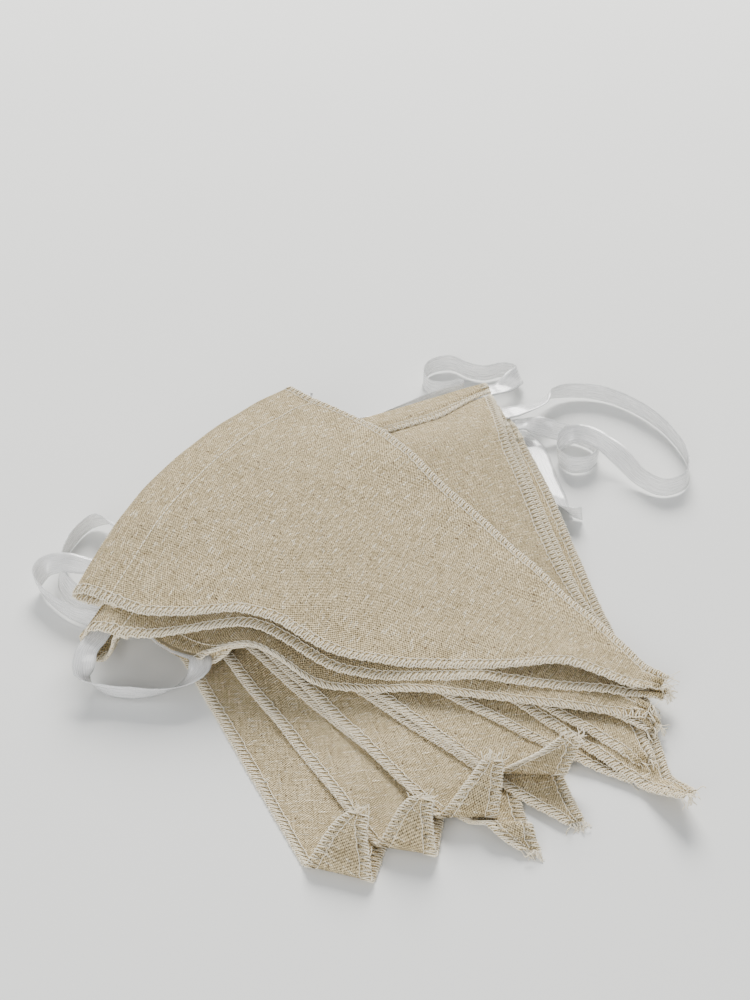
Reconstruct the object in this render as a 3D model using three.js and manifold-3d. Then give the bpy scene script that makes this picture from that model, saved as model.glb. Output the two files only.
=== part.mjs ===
import * as THREE from "three";
import Module from "manifold-3d";

// Cloth pennants threaded on one satin ribbon and dropped in a loose fanned pile.
// Millimetres, +Z up. The fan opens towards -Y and the pile lies on Z = 0.

const HEADING = 185; // finished width along the heading
const LENGTH = 250; // heading fold to tip
const TIP = 8; // width of the blunt tip
const CLOTH = 1.0; // sheet thickness
const CHANNEL = 1.6; // clear height of the ribbon channel
const STITCH = 16; // heading fold to the stitch line
const HEM = 23; // heading fold to the edge of the turned flap
const CHANNEL_FROM = 1.2; // channel walls, measured from the heading fold
const CHANNEL_TO = 14.6;
const GAP = 0.4; // air between one sheet and the next
const ORIGIN = { x: -1.4, y: 36.9 }; // middle of the pile, which becomes the frame's origin
const RIBBON_WIDTH = 10;
const RIBBON_THICK = 1.0;
const RIBBON_V = 7.9; // middle of the ribbon, from the heading fold
const MOUTH_ROOM = 0.17; // part of half the heading kept clear outside each channel mouth

const HALF_ANGLE = Math.atan((HEADING / 2 - TIP / 2) / LENGTH);

// One row for each pennant, lowest first.
// x, y: near heading corner. dir: direction of the near edge in degrees.
// hem: "pressed" is a flat turned hem, "under" and "over" a channel below or above the sheet.
// shape: further measures, explained below.
const PENNANTS = [
  { name: "pennant_a", x: -126, y: 71, dir: -65.0, hem: "pressed", shape: {} },
  { name: "pennant_b", x: -122, y: 75, dir: -59.0, hem: "pressed", shape: {} },
  { name: "pennant_c", x: -119, y: 77, dir: -55.5, hem: "pressed", shape: { sway: 28 } },
  { name: "pennant_d", x: -116, y: 77, dir: -53.7, hem: "pressed", shape: {} },
  { name: "pennant_e", x: -115, y: 77, dir: -49.5, hem: "pressed", shape: { sway: 22 } },
  { name: "pennant_f", x: -114, y: 77, dir: -48.2, hem: "pressed", shape: { sway: 14 } },
  { name: "pennant_g", x: -113, y: 76, dir: -43.5, hem: "under", shape: { sway: 30 } },
  { name: "pennant_h", x: -84, y: 60, dir: -36.1, hem: "over", shape: { sway: -14 } },
  { name: "pennant_i", x: -90, y: 67, dir: -36.6, hem: "over", shape: { sway: -6, draw: 0.95 } },
  { name: "pennant_j", x: -96, y: 94, dir: -37.1, hem: "over", shape: {} },
  { name: "pennant_k", x: -146, y: -17, dir: -9.2, hem: "under", shape: { cut: 66, over: 44 } },
  { name: "pennant_l", x: -130, y: -20, dir: -7.2, hem: "under", shape: { draw: 0.96 } },
  { name: "pennant_m", x: -135, y: 0, dir: -10.1, hem: "under", shape: { bow: 9, draw: 0.99 } },
];
// sway: sideways drift of the tip. bow: outward bulge of the heading.
// draw: how much of its length a sheet keeps where it lies in low waves.
// cut, over: the near corner is turned in by this much along the edge and the heading.

// How far an edge lies outside its straight line, at distances v from the heading.
const EDGES = {
  pennant_i: {
    far: [
      { v: 0, out: 0 },
      { v: 70, out: -3 },
      { v: 200, out: 0 },
    ],
  },
  pennant_j: {
    far: [
      { v: 0, out: 0 },
      { v: 70, out: -9 },
      { v: 130, out: -9 },
      { v: 215, out: 0 },
    ],
  },
  pennant_k: {
    near: [
      { v: 66, out: 0 },
      { v: 86, out: -5 },
      { v: 124, out: 6 },
      { v: 180, out: 3 },
      { v: 250, out: 0 },
    ],
  },
  pennant_l: {
    near: [
      { v: 0, out: 0 },
      { v: 30, out: 4 },
      { v: 70, out: -8 },
      { v: 118, out: 7 },
      { v: 180, out: 3 },
      { v: 238, out: -1 },
    ],
  },
  pennant_m: {
    near: [
      { v: 0, out: 0 },
      { v: 44, out: 12 },
      { v: 76, out: 3 },
      { v: 124, out: 13 },
      { v: 180, out: 6 },
      { v: 208, out: -3 },
      { v: 245, out: 1 },
    ],
    far: [
      { v: 0, out: 0 },
      { v: 50, out: 15 },
      { v: 120, out: 12 },
      { v: 200, out: 7 },
      { v: 245, out: 0 },
    ],
  },
};

// Tips that turn out of the sheet.
// fold: fold line to tip. skew: tilt of the fold line in degrees.
// bends: where each turn starts past the fold line, its angle and its radius.
const TIPS = {
  pennant_a: { fold: 28, skew: -23, bends: [{ at: 0, angle: 168, radius: 2.8 }] },
  pennant_b: { fold: 22, skew: -25, bends: [{ at: 0, angle: 158, radius: 2.8 }] },
  pennant_c: {
    fold: 21,
    skew: -16,
    bends: [
      { at: 0, angle: 42, radius: 3 },
      { at: 7, angle: -84, radius: 3 },
      { at: 14, angle: 42, radius: 3 },
    ],
  },
  pennant_d: { fold: 24, skew: -16, bends: [{ at: 0, angle: 160, radius: 3 }] },
  pennant_f: { fold: 30, skew: -22, bends: [{ at: 0, angle: 112, radius: 4 }] },
  pennant_h: { fold: 12, skew: 0, bends: [{ at: 0, angle: 35, radius: 9 }] },
};

// How steeply a sheet may fall, from its left side to its right side, by hem or by name.
const FALL = {
  pressed: { left: 0.4, right: 0.4 },
  over: { left: 0.3, right: 0.25 },
  under: { left: 0.1, right: 0.28 },
  pennant_k: { left: 0.55, right: 0.28 },
};

// Soft waves raised in one sheet and carried by those above it.
// x, y: crest. h: height. along, across: half lengths. turn: degrees.
const WAVES = [
  { on: "pennant_k", x: -60, y: -30, h: 14, along: 20, across: 40, turn: -10 },
  { on: "pennant_m", x: 86, y: -40, h: 6, along: 24, across: 26, turn: -10 },
];

// The near corners of the two top pennants reach past the pile and sag there.
const SAG = { names: ["pennant_l", "pennant_m"], x: -142, y: -22, h: 8, reach: 48 };

const rad = (degrees) => (degrees * Math.PI) / 180;
const clamp01 = (t) => Math.max(0, Math.min(1, t));
const smooth = (t) => clamp01(t) ** 2 * (3 - 2 * clamp01(t));

const wasm = await Module();
wasm.setup();
const { Manifold, CrossSection, Mesh } = wasm;

// All sheets share one grid of heights, so sheets that are in order at its
// nodes are in order everywhere between them.
const CELL = 15;
const GRID = { x: -183, y: -183, nx: 25, ny: 29 };
const nodeX = (i) => GRID.x + i * CELL;
const nodeY = (j) => GRID.y + j * CELL;
const nodeAt = (i, j) => i * GRID.ny + j;
const newField = (value) => new Float64Array(GRID.nx * GRID.ny).fill(value);

function eachNode(visit) {
  for (let i = 0; i < GRID.nx; i++) {
    for (let j = 0; j < GRID.ny; j++) visit(nodeAt(i, j), i, j);
  }
}

// Height between nodes; every cell is split along the same diagonal.
function heightAt(field, x, y) {
  const i = Math.max(0, Math.min(GRID.nx - 2, Math.floor((x - GRID.x) / CELL)));
  const j = Math.max(0, Math.min(GRID.ny - 2, Math.floor((y - GRID.y) / CELL)));
  const s = (x - nodeX(i)) / CELL;
  const t = (y - nodeY(j)) / CELL;
  const low = field[nodeAt(i, j)];
  const high = field[nodeAt(i + 1, j + 1)];
  if (s > t) {
    const side = field[nodeAt(i + 1, j)];
    return low + (side - low) * s + (high - side) * t;
  }
  const side = field[nodeAt(i, j + 1)];
  return low + (side - low) * t + (high - side) * s;
}

function insideOrNear(outline, x, y, reach) {
  let inside = false;
  let near = false;
  for (let k = 0; k < outline.length; k++) {
    const [ax, ay] = outline[k];
    const [bx, by] = outline[(k + 1) % outline.length];
    if (ay > y !== by > y && x < ax + ((bx - ax) * (y - ay)) / (by - ay)) inside = !inside;
    const length2 = (bx - ax) ** 2 + (by - ay) ** 2 || 1;
    const t = clamp01(((x - ax) * (bx - ax) + (y - ay) * (by - ay)) / length2);
    if (Math.hypot(ax + (bx - ax) * t - x, ay + (by - ay) * t - y) < reach) near = true;
  }
  return inside || near;
}

// Mark the nodes of every triangle of the grid that an outline touches.
function nodesUnder(outline) {
  const marks = newField(0);
  const parts = 4;
  for (let i = 0; i + 1 < GRID.nx; i++) {
    for (let j = 0; j + 1 < GRID.ny; j++) {
      for (const side of [0, 1]) {
        const corners = [nodeAt(i, j), nodeAt(i + 1, j + 1), side ? nodeAt(i, j + 1) : nodeAt(i + 1, j)];
        if (corners.every((k) => marks[k])) continue;
        let touched = false;
        for (let s = 0; s <= parts && !touched; s++) {
          for (let t = 0; t <= s && !touched; t++) {
            const dx = ((side ? t : s) * CELL) / parts;
            const dy = ((side ? s : t) * CELL) / parts;
            touched = insideOrNear(outline, nodeX(i) + dx, nodeY(j) + dy, 2.6);
          }
        }
        if (touched) corners.forEach((k) => (marks[k] = 1));
      }
    }
  }
  return marks;
}

// Lift a field until it falls no more steeply than allowed, then soften it.
function settle(need, fall) {
  let now = need.slice();
  const steps = [-1, 0, 1];
  const neighbours = steps.flatMap((di) => steps.map((dj) => ({ di, dj, far: Math.hypot(di, dj) })));
  for (let pass = 0; pass < 16; pass++) {
    const next = now.slice();
    eachNode((k, i, j) => {
      const side = smooth((nodeX(i) + 70) / 60);
      const drop = (fall.left * (1 - side) + fall.right * side) * CELL;
      for (const { di, dj, far } of neighbours) {
        const a = i + di;
        const b = j + dj;
        if (a < 0 || b < 0 || a >= GRID.nx || b >= GRID.ny) continue;
        next[k] = Math.max(next[k], now[nodeAt(a, b)] - drop * far);
      }
    });
    now = next;
  }
  for (let pass = 0; pass < 2; pass++) {
    const next = now.slice();
    eachNode((k, i, j) => {
      if (i < 1 || j < 1 || i > GRID.nx - 2 || j > GRID.ny - 2) return;
      const around = now[k - 1] + now[k + 1] + now[k - GRID.ny] + now[k + GRID.ny];
      next[k] = (4 * now[k] + around) / 8;
    });
    now = next;
  }
  return now;
}

// Where the flat cut of a pennant lies on the floor plan.
// v runs from the heading fold to the tip, u across it from the near edge.
function frameOf(p) {
  const axis = rad(p.dir) - HALF_ANGLE;
  const a = [Math.cos(axis), Math.sin(axis)];
  const h = [-a[1], a[0]];
  const mid = [p.x + (h[0] * HEADING) / 2, p.y + (h[1] * HEADING) / 2];
  return { a, h, mid };
}

const halfWidth = (v) => TIP / 2 + ((HEADING - TIP) / 2) * (1 - v / LENGTH);

function outAt(table, v) {
  if (!table) return 0;
  if (v <= table[0].v) return table[0].out;
  for (let k = 1; k < table.length; k++) {
    const t = (v - table[k - 1].v) / (table[k].v - table[k - 1].v);
    if (t < 1) return table[k - 1].out + (table[k].out - table[k - 1].out) * smooth(t);
  }
  return table[table.length - 1].out;
}

function planPoint(p, v, u) {
  const { a, h, mid } = frameOf(p);
  const { sway = 0, bow = 0, draw = 1 } = p.shape;
  const edges = EDGES[p.name] ?? {};
  const across = u / Math.max(halfWidth(v), 1);
  const bulge = bow * Math.sin(Math.PI * clamp01((across + 1) / 2)) * Math.exp(-v / 90);
  const along = v * draw - bulge;
  const out = across < 0 ? -outAt(edges.near, v) : outAt(edges.far, v);
  const side = u + sway * (v / LENGTH) ** 3 + out * clamp01(Math.abs(across)) ** 3;
  return [mid[0] + a[0] * along + h[0] * side, mid[1] + a[1] * along + h[1] * side];
}

// A line across the pennant at v from the heading, past its near and far edges by
// these parts of half the width. tilt turns it about the middle of the pennant.
function crossLine(p, v, { near = 0, far = 0, tilt = 0, count = 2 } = {}) {
  const { cut = 0, over = 1 } = p.shape;
  const first = -1 - near;
  const last = 1 + far;
  const stops = Array.from({ length: count }, (_, k) => -1 + (2 * k) / (count - 1));
  if (cut) stops.push((2 * over) / HEADING - 1);
  const inside = stops.filter((s) => s > first && s < last);
  inside.push(first, last);
  inside.sort((s, t) => s - t);
  return inside.map((s) => {
    const inset = cut * clamp01(1 - ((s + 1) * HEADING) / 2 / over);
    const base = v + inset * (1 - v / LENGTH);
    let u = s * halfWidth(base);
    for (let k = 0; k < 4; k++) u = s * halfWidth(base - tilt * u);
    return planPoint(p, base - tilt * u, u);
  });
}

const columnsOf = (p) => (p.shape.bow ? 9 : 2);

// The part of the pennant between two distances from the heading.
function bandOutline(p, from, to, near = 0, far = near) {
  const reach = { near, far, count: columnsOf(p) };
  return [...crossLine(p, from, reach), ...crossLine(p, to, reach).reverse()];
}

// Everything past the hem, well beyond the tip and both edges.
function pastHem(p) {
  const { a, h, mid } = frameOf(p);
  const corner = (side) => [mid[0] + a[0] * 340 + h[0] * side, mid[1] + a[1] * 340 + h[1] * side];
  const line = crossLine(p, HEM, { near: 0.6, far: 0.6, count: columnsOf(p) });
  return [...line, corner(160), corner(-160)];
}

// The part that lies in the sheet, heading to fold line, with its swaying edges.
function sheetOutline(p) {
  const tip = TIPS[p.name];
  const end = LENGTH - (tip?.fold ?? 0);
  const tilt = tip ? Math.tan(rad(tip.skew)) : 0;
  const start = crossLine(p, 0, { count: columnsOf(p) });
  const finish = crossLine(p, end, { tilt });
  const steps = EDGES[p.name] ? 14 : p.shape.sway ? 6 : 0;
  const edge = (sign) => {
    const points = [];
    for (let k = 1; k <= steps; k++) {
      const v = HEM + 3 + ((end - 50) * (k - 1)) / (steps - 1);
      points.push(planPoint(p, v, sign * halfWidth(v)));
    }
    return points;
  };
  return [...start, ...edge(1), ...finish.reverse(), ...edge(-1).reverse()];
}

function layPennant(p, top) {
  const outline = sheetOutline(p);
  const sheet = nodesUnder(outline);
  const hem = nodesUnder(bandOutline(p, 0, HEM));
  const channel = newField(0);
  if (p.hem !== "pressed") {
    // The channel's layers keep their room a little past both edges, for the ribbon.
    const past = nodesUnder(bandOutline(p, 0, STITCH, MOUTH_ROOM));
    eachNode((k) => {
      channel[k] = past[k];
      sheet[k] = Math.max(sheet[k], past[k]);
    });
  }
  const extra = (k) => {
    if (channel[k]) return CHANNEL + CLOTH;
    return hem[k] ? CLOTH : 0;
  };
  const need = newField(0);
  eachNode((k) => {
    if (!sheet[k]) return;
    const lift = top[k] > 0 ? top[k] + GAP : 0;
    need[k] = lift + (p.hem === "over" ? 0 : extra(k));
  });
  for (const wave of WAVES.filter((w) => w.on === p.name)) {
    const c = Math.cos(rad(wave.turn));
    const s = Math.sin(rad(wave.turn));
    eachNode((k, i, j) => {
      if (!sheet[k]) return;
      const dx = nodeX(i) - wave.x;
      const dy = nodeY(j) - wave.y;
      const along = (dx * c + dy * s) / wave.along;
      const across = (-dx * s + dy * c) / wave.across;
      need[k] += wave.h * Math.exp(-along * along - across * across);
    });
  }
  const soft = settle(need, FALL[p.name] ?? FALL[p.hem]);
  const sag = SAG.names.includes(p.name) ? SAG.h : 0;
  const field = newField(0);
  eachNode((k, i, j) => {
    const away = Math.hypot(nodeX(i) - SAG.x, nodeY(j) - SAG.y) / SAG.reach;
    field[k] = Math.max(need[k], soft[k] - sag * Math.exp(-away * away));
    if (sheet[k]) top[k] = Math.max(top[k], field[k] + CLOTH + (p.hem === "over" ? extra(k) : 0));
  });
  return { ...p, outline, field };
}

// The layer between two distances above a field.
function layer(field, from, to) {
  const points = [];
  const faces = [];
  const size = GRID.nx * GRID.ny;
  for (const rise of [from, to]) {
    eachNode((k, i, j) => points.push(nodeX(i), nodeY(j), field[k] + rise));
  }
  const quad = (a, b, c, d) => faces.push(a, b, c, a, c, d);
  for (let i = 0; i + 1 < GRID.nx; i++) {
    for (let j = 0; j + 1 < GRID.ny; j++) {
      const [a, b, c, d] = [nodeAt(i, j), nodeAt(i + 1, j), nodeAt(i + 1, j + 1), nodeAt(i, j + 1)];
      faces.push(size + a, size + b, size + c, size + a, size + c, size + d);
      faces.push(a, c, b, a, d, c);
    }
  }
  const wall = (a, b) => quad(a, b, size + b, size + a);
  for (let i = 0; i + 1 < GRID.nx; i++) {
    wall(nodeAt(i, 0), nodeAt(i + 1, 0));
    wall(nodeAt(i + 1, GRID.ny - 1), nodeAt(i, GRID.ny - 1));
  }
  for (let j = 0; j + 1 < GRID.ny; j++) {
    wall(nodeAt(0, j + 1), nodeAt(0, j));
    wall(nodeAt(GRID.nx - 1, j), nodeAt(GRID.nx - 1, j + 1));
  }
  return new Manifold(
    new Mesh({ numProp: 3, vertProperties: new Float32Array(points), triVerts: new Uint32Array(faces) })
  );
}

function prism(outline) {
  let area = 0;
  outline.forEach(([x, y], k) => {
    const [nx, ny] = outline[(k + 1) % outline.length];
    area += x * ny - nx * y;
  });
  const loop = area < 0 ? [...outline].reverse() : outline;
  return new CrossSection([loop]).extrude(160).translate([0, 0, -50]);
}

// The tip turns about the fold line: follow its straight and curved stretches.
function turned(bends, e) {
  let x = 0;
  let z = 0;
  let lean = 0;
  let at = 0;
  const straight = (to) => {
    x += (to - at) * Math.cos(lean);
    z += (to - at) * Math.sin(lean);
    at = to;
  };
  for (const bend of bends) {
    if (e <= bend.at) break;
    straight(Math.max(bend.at, at));
    const turn = rad(bend.angle);
    const run = Math.abs(turn) * bend.radius;
    const part = Math.min(1, (e - at) / run);
    const sign = Math.sign(turn);
    const to = lean + turn * part;
    x += sign * bend.radius * (Math.sin(to) - Math.sin(lean));
    z += sign * bend.radius * (Math.cos(lean) - Math.cos(to));
    lean = to;
    at += part * run;
    if (part < 1) return { x, z, lean };
  }
  if (e > at) straight(e);
  return { x, z, lean };
}

// The turned tip as a strip of sheet that starts just inside the fold line.
function turnedTip(laid) {
  const { fold, skew, bends } = TIPS[laid.name];
  const tilt = rad(skew);
  const { a, h } = frameOf(laid);
  const out = [
    Math.cos(tilt) * a[0] + Math.sin(tilt) * h[0],
    Math.cos(tilt) * a[1] + Math.sin(tilt) * h[1],
  ];
  const end = fold * Math.cos(tilt);
  const marks = [-1.5, 0];
  for (const { at, angle, radius } of bends) {
    const run = Math.abs(rad(angle)) * radius;
    const parts = Math.max(1, Math.round(Math.abs(angle) / 30));
    for (let k = 0; k <= parts; k++) marks.push(at + (run * k) / parts);
  }
  const rows = [...new Set(marks.filter((e) => e < end - 1.5))].sort((s, t) => s - t);
  rows.push(end);
  const columns = 5;
  const points = [];
  for (const n of [0, CLOTH]) {
    for (const e of rows) {
      const v = LENGTH - fold + e / Math.cos(tilt);
      const line = crossLine(laid, v, { tilt: Math.tan(tilt), count: columns });
      for (const [px, py] of line) {
        const turn = turned(bends, Math.max(e, 0));
        const away = turn.x - n * Math.sin(turn.lean) - Math.max(e, 0);
        const foldX = px - out[0] * e;
        const foldY = py - out[1] * e;
        const base = heightAt(laid.field, foldX, foldY);
        points.push([px + out[0] * away, py + out[1] * away, base + turn.z + n * Math.cos(turn.lean)]);
      }
    }
  }
  return stripOf(points, rows.length, columns);
}

// A closed strip from two layers of rows by columns points.
function stripOf(points, rows, columns) {
  const faces = [];
  const size = rows * columns;
  const quad = (a, b, c, d) => faces.push([a, b, c], [a, c, d]);
  for (let r = 0; r + 1 < rows; r++) {
    for (let c = 0; c + 1 < columns; c++) {
      const a = r * columns + c;
      quad(a, a + columns, a + columns + 1, a + 1);
      quad(size + a, size + a + 1, size + a + columns + 1, size + a + columns);
    }
    const near = r * columns;
    const far = near + columns - 1;
    quad(near, size + near, size + near + columns, near + columns);
    quad(far, far + columns, size + far + columns, size + far);
  }
  for (let c = 0; c + 1 < columns; c++) {
    const last = (rows - 1) * columns + c;
    quad(c, c + 1, size + c + 1, size + c);
    quad(last, size + last, size + last + 1, last + 1);
  }
  return manifoldOf(points, faces);
}

function manifoldOf(points, faces) {
  let volume = 0;
  for (const [i, j, k] of faces) {
    const [a, b, c] = [points[i], points[j], points[k]].map((q) => new THREE.Vector3(...q));
    volume += a.dot(b.cross(c));
  }
  const turnedFaces = volume < 0 ? faces.map(([i, j, k]) => [i, k, j]) : faces;
  return new Manifold(
    new Mesh({
      numProp: 3,
      vertProperties: new Float32Array(points.flat()),
      triVerts: new Uint32Array(turnedFaces.flat()),
    })
  );
}

function pennantSolid(laid) {
  const depth = laid.hem === "pressed" ? CLOTH : CHANNEL + CLOTH;
  const side = laid.hem === "over" ? 1 : -1;
  const between = (from, to) => {
    // Heights measured outwards from the sheet's hem side.
    const base = side > 0 ? CLOTH : 0;
    return side > 0 ? layer(laid.field, base + from, base + to) : layer(laid.field, -to, -from);
  };
  let body = between(-CLOTH, depth).intersect(prism(laid.outline));
  body = body.subtract(between(0, 12).intersect(prism(pastHem(laid))));
  if (laid.hem !== "pressed") {
    body = body.subtract(between(CLOTH, 12).intersect(prism(bandOutline(laid, STITCH, HEM + 4, 0.6))));
    const hollow = prism(bandOutline(laid, CHANNEL_FROM, CHANNEL_TO, 0.3));
    body = body.subtract(between(0, CHANNEL).intersect(hollow));
  }
  if (TIPS[laid.name]) body = body.add(turnedTip(laid));
  return body.simplify(0.05);
}

function meshOf(name, body, material) {
  const { vertProperties, triVerts, numProp } = body.getMesh();
  const points = [];
  for (let k = 0; k < vertProperties.length; k += numProp) {
    points.push(vertProperties[k] - ORIGIN.x, vertProperties[k + 1] - ORIGIN.y, vertProperties[k + 2]);
  }
  const geometry = new THREE.BufferGeometry();
  geometry.setAttribute("position", new THREE.Float32BufferAttribute(points, 3));
  geometry.setIndex(Array.from(triVerts));
  geometry.computeVertexNormals();
  const mesh = new THREE.Mesh(geometry, material);
  mesh.name = name;
  return mesh;
}

// The ribbon runs through the channels of seven pennants and loops between them.
// from, to: the channel mouths that a loop joins; null is a free end.
// x, y, z: middle of the ribbon. z null: it lies on what is below it.
// roll: 0 flat, 90 on edge.
const LOOPS = [
  {
    from: null,
    to: { name: "pennant_g", end: "far" },
    points: [
      { x: 101, y: 87, z: 5.4, roll: 75 },
      { x: 95, y: 89, z: 5.0, roll: 60 },
      { x: 91.5, y: 97, z: 3.0, roll: 25 },
      { x: 90, y: 108, z: 1.2, roll: 5 },
      { x: 87.5, y: 120, z: 0.9, roll: 0 },
      { x: 85.5, y: 132, z: 0.9, roll: 0 },
      { x: 83.5, y: 144, z: 1.0, roll: 0 },
      { x: 80, y: 153, z: 1.5, roll: 0 },
      { x: 74, y: 158, z: 2.4, roll: 0 },
    ],
  },
  {
    from: { name: "pennant_g", end: "near" },
    to: { name: "pennant_h", end: "near" },
    before: "pennant_i",
    points: [
      { x: -122, y: 71, z: 12, roll: 15 },
      { x: -129, y: 79, z: 8, roll: 50 },
      { x: -136, y: 81, z: 6, roll: 80 },
      { x: -144, y: 69, z: 5.6, roll: 90 },
      { x: -148, y: 51, z: 5.6, roll: 85 },
      { x: -146, y: 37, z: 5.2, roll: 65 },
      { x: -140, y: 27, z: 4.8, roll: 50 },
      { x: -131, y: 19, z: 5.6, roll: 80 },
      { x: -121, y: 17, z: 5.6, roll: 90 },
      { x: -114, y: 12, z: 5.6, roll: 90 },
      { x: -117, y: 6, z: 5.8, roll: 90 },
      { x: -127, y: 7, z: 6.0, roll: 90 },
      { x: -139, y: 12, z: 6.0, roll: 85 },
      { x: -150, y: 22, z: 5.8, roll: 80 },
      { x: -158, y: 34, z: 6.2, roll: 75 },
      { x: -155, y: 42, z: 8.6, roll: 55 },
      { x: -146, y: 42, z: 11.4, roll: 30 },
      { x: -135, y: 38, z: 12.6, roll: 12 },
      { x: -122, y: 37, z: 12.5, roll: 5 },
      { x: -108, y: 37, z: null, roll: 0 },
      { x: -97, y: 42, z: null, roll: 0 },
    ],
  },
  {
    from: { name: "pennant_h", end: "far" },
    to: { name: "pennant_i", end: "far" },
    points: [
      { x: 84, y: 158, z: 8.4, roll: 40 },
      { x: 94, y: 156.5, z: 6.4, roll: 75 },
      { x: 104, y: 153, z: 5.8, roll: 88 },
      { x: 112, y: 146, z: 5.8, roll: 88 },
      { x: 113.5, y: 137, z: 5.8, roll: 88 },
      { x: 108, y: 128.5, z: 5.8, roll: 88 },
      { x: 99, y: 127, z: 5.8, roll: 88 },
      { x: 93, y: 134, z: 5.8, roll: 85 },
      { x: 93.5, y: 143, z: 7.2, roll: 80 },
      { x: 99, y: 148, z: 9.6, roll: 60 },
      { x: 107, y: 146, z: 11.6, roll: 30 },
      { x: 116, y: 138, z: 11.8, roll: 20 },
      { x: 125, y: 127, z: 9.2, roll: 50 },
      { x: 133, y: 116, z: 6.4, roll: 75 },
      { x: 143, y: 109, z: 5.7, roll: 85 },
      { x: 154, y: 114, z: 5.7, roll: 85 },
      { x: 158, y: 131, z: 5.7, roll: 85 },
      { x: 150, y: 160, z: 5.7, roll: 85 },
      { x: 135, y: 181, z: 5.7, roll: 85 },
      { x: 119, y: 192, z: 5.7, roll: 85 },
      { x: 101, y: 193, z: 6.5, roll: 80 },
      { x: 90, y: 185, z: 9, roll: 60 },
      { x: 86, y: 175, z: 11, roll: 25 },
    ],
  },
  {
    from: { name: "pennant_i", end: "near" },
    to: { name: "pennant_j", end: "near" },
    before: "pennant_k",
    points: [
      { x: -102, y: 54, z: null, roll: 0 },
      { x: -109, y: 60, z: null, roll: 0 },
      { x: -111, y: 70, z: null, roll: 0 },
      { x: -107, y: 79, z: null, roll: 0 },
    ],
  },
  {
    from: { name: "pennant_j", end: "far" },
    to: { name: "pennant_k", end: "far" },
    points: [
      { x: 73, y: 199, z: 9.5, roll: 30 },
      { x: 77, y: 208, z: 8.0, roll: 70 },
      { x: 69, y: 214, z: 6.2, roll: 85 },
      { x: 59, y: 211, z: 5.8, roll: 88 },
      { x: 50, y: 214, z: 5.8, roll: 88 },
      { x: 41, y: 221, z: 5.8, roll: 88 },
      { x: 31, y: 218, z: 5.8, roll: 88 },
      { x: 26, y: 207, z: 5.8, roll: 88 },
      { x: 30, y: 197, z: 5.8, roll: 88 },
      { x: 38, y: 196, z: 5.8, roll: 88 },
      { x: 46, y: 199, z: 5.8, roll: 88 },
      { x: 47, y: 195, z: 5.8, roll: 88 },
      { x: 37, y: 189.5, z: 5.8, roll: 88 },
      { x: 26, y: 183, z: 5.8, roll: 88 },
      { x: 12, y: 173, z: 6.2, roll: 80 },
      { x: -4, y: 162, z: 8.5, roll: 60 },
      { x: -20, y: 156, z: 14, roll: 35 },
      { x: -35, y: 153, z: 20, roll: 15 },
    ],
  },
  {
    from: { name: "pennant_k", end: "near" },
    to: { name: "pennant_l", end: "near" },
    points: [
      { x: -83, y: -39, z: 9, roll: 30 },
      { x: -93, y: -42, z: 6.6, roll: 55 },
      { x: -106, y: -42, z: 5.6, roll: 75 },
      { x: -118, y: -40, z: 5.8, roll: 70 },
      { x: -127, y: -36, z: 9.5, roll: 40 },
    ],
  },
  {
    from: { name: "pennant_l", end: "far" },
    to: { name: "pennant_m", end: "far" },
    points: [
      { x: -34, y: 157, z: 23.8, roll: 0 },
      { x: -29.5, y: 165, z: 23.0, roll: 0 },
      { x: -27.3, y: 169, z: 24.9, roll: 0 },
      { x: -29.3, y: 167.6, z: 27.0, roll: 0 },
    ],
  },
];

// The ribbon's end stays this far inside the last channel, as a part of half the heading.
const RECESS = 0.07;

const ribbonRise = (p) => (p.hem === "over" ? CLOTH : -CHANNEL) + (CHANNEL - RIBBON_THICK) / 2;

function channelLeg(laid) {
  const near = laid.name === "pennant_m" ? -RECESS : 0.05;
  const half = RIBBON_WIDTH / 2;
  const band = prism(bandOutline(laid, RIBBON_V - half, RIBBON_V + half, near, 0.05));
  const rise = ribbonRise(laid);
  return layer(laid.field, rise, rise + RIBBON_THICK).intersect(band);
}

// Where the ribbon's middle leaves a channel: just outside the edge, then a little further.
function mouthPoints(laid, end) {
  return [0.03, 0.09].map((past) => {
    const line = crossLine(laid, RIBBON_V, { near: past, far: past, count: columnsOf(laid) });
    const [x, y] = end === "near" ? line[0] : line[line.length - 1];
    return { x, y, z: heightAt(laid.field, x, y) + ribbonRise(laid) + RIBBON_THICK / 2, roll: 0 };
  });
}

function restingZ(field, x, y) {
  let z = 0;
  for (let k = 0; k < 12; k++) {
    const turn = (k * Math.PI) / 6;
    for (const reach of [2, 5, 7.5]) {
      z = Math.max(z, heightAt(field, x + reach * Math.cos(turn), y + reach * Math.sin(turn)));
    }
  }
  return z + (z > 0 ? GAP : 0) + RIBBON_THICK / 2;
}

function routeOf(loop, laidByName, pile) {
  const start = loop.from ? mouthPoints(laidByName[loop.from.name], loop.from.end) : [];
  const finish = loop.to ? mouthPoints(laidByName[loop.to.name], loop.to.end).reverse() : [];
  const middle = loop.points.map((q) => ({ ...q, z: q.z ?? restingZ(pile, q.x, q.y) }));
  return [...start, ...middle, ...finish];
}

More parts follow.
